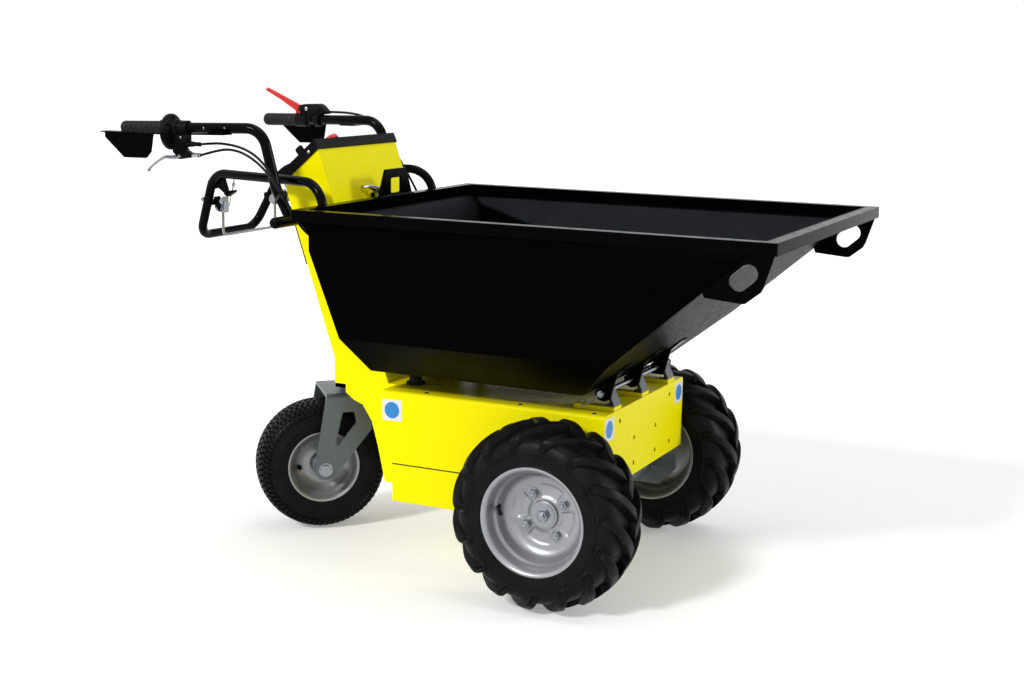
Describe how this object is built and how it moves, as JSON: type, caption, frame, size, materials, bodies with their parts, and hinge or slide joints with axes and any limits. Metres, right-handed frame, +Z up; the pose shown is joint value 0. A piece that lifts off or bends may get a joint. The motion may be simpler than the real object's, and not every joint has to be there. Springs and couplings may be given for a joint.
{
  "type": "pedestrian electric mini dumper",
  "caption": "Three-wheel electric site dumper walked behind: forward-tipping open skip on a yellow chassis, console pylon, handlebar with guards, swivelling rear castor.",
  "frame": {"origin": "on the ground under the middle of the overall length, on the centre plane", "axes": "+X towards the tipping end, +Y to the machine's left, +Z up"},
  "size_m": [1.639, 0.826, 1.061],
  "materials": {
    "yellow_paint": "bright yellow gloss powder coat",
    "black_paint": "black satin powder coat",
    "black_plastic": "black moulded plastic",
    "red_plastic": "red moulded plastic",
    "zinc": "bright zinc plate",
    "chrome": "polished plate",
    "grey_paint": "grey paint",
    "rim_paint": "silver paint",
    "tyre": "black rubber",
    "rubber": "black rubber",
    "cable_black": "black cable sheath"
  },
  "bodies": {
    "chassis": {"bail_brackets": "zinc", "bail_wire": "zinc", "battery_block": "black_plastic", "battery_tray": "yellow_paint", "brake_cable": "cable_black", "brake_lever": "chrome", "brake_perch": "black_plastic", "bump_stops": "rubber", "cable_glands": "black_plastic", "castor_mount": "black_paint", "chassis_box": "yellow_paint", "control_panel_cap": "black_plastic", "emergency_stop": "red_plastic", "gear_motors": "grey_paint", "grips": "rubber", "guard_bar": "black_paint", "hand_guards": "black_paint", "handlebar_mount": "black_paint", "handlebar_tubes": "black_paint", "hinge_brackets": "zinc", "hinge_rod": "zinc", "key_switch": "chrome", "left_cable": "cable_black", "left_lever": "red_plastic", "left_lever_housing": "black_plastic", "pylon_front_panel": "yellow_paint", "pylon_rear_panel": "yellow_paint", "pylon_side_plates": "yellow_paint", "rear_strip": "black_paint", "skip_latch": "chrome", "throttle_cable": "cable_black", "throttle_housing": "black_plastic"},
    "skip": {"skip_tub": "black_paint", "skip_rim": "black_paint", "skip_lugs": "black_paint", "skip_handle_plate": "black_paint", "skip_hinge_ears": "black_paint"},
    "left_wheel": {"front_rim_left": "rim_paint", "front_tyre_left": "tyre"},
    "right_wheel": {"front_rim_right": "rim_paint", "front_tyre_right": "tyre"},
    "castor": {"castor_fork": "grey_paint", "castor_axle": "zinc"},
    "castor_wheel": {"castor_rim": "rim_paint", "castor_tyre": "tyre"}
  },
  "joints": [
    {"name": "skip_tip", "type": "hinge", "parent": "chassis", "child": "skip", "pos_m": [0.3855, 0, 0.448], "axis": [0, 1, 0], "range_deg": [0, 80]},
    {"name": "left_wheel_spin", "type": "hinge", "parent": "chassis", "child": "left_wheel", "pos_m": [0.3205, 0.333, 0.206], "axis": [0, 1, 0], "continuous": true},
    {"name": "right_wheel_spin", "type": "hinge", "parent": "chassis", "child": "right_wheel", "pos_m": [0.3205, -0.333, 0.206], "axis": [0, 1, 0], "continuous": true},
    {"name": "castor_swivel", "type": "hinge", "parent": "chassis", "child": "castor", "pos_m": [-0.3675, 0, 0.346], "axis": [0, 0, 1], "continuous": true},
    {"name": "castor_spin", "type": "hinge", "parent": "castor", "child": "castor_wheel", "pos_m": [-0.42565, -0.05199, 0.159], "axis": [-0.6665, 0.7455, 0], "continuous": true}
  ]
}
